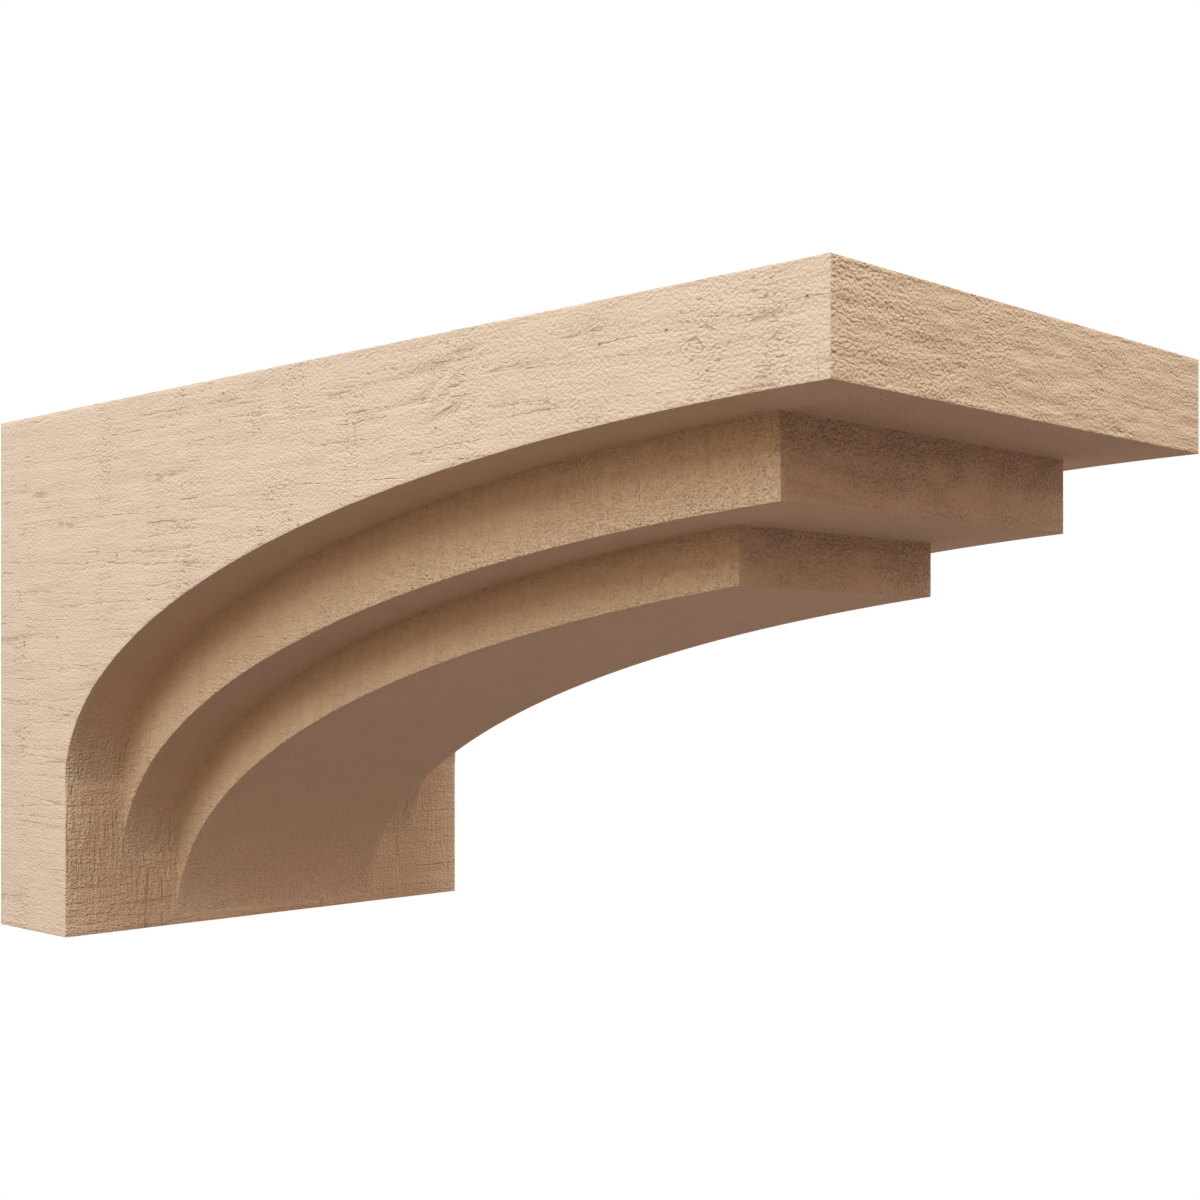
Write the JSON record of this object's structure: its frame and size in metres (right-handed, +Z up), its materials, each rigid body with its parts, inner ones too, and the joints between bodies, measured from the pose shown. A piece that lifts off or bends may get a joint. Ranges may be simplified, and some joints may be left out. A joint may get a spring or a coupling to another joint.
{
  "type": "polyurethane corbel",
  "caption": "Stepped corbel with a foot against the wall, an arched underside and upright noses that step back below a flat top. Fixed to a wall under a beam, soffit or shelf.",
  "frame": {"origin": "centre of the flat face that goes against the wall", "axes": "+Y into the wall, so the corbel projects towards -Y; +Z up; +X to the right of someone who faces it"},
  "size_m": [0.1524, 0.3048, 0.1524],
  "materials": {
    "painted_foam": "matt tan paint over a rough-sawn wood grain moulded in the foam's skin"
  },
  "bodies": {
    "root": {"corbel": "painted_foam"}
  },
  "joints": []
}
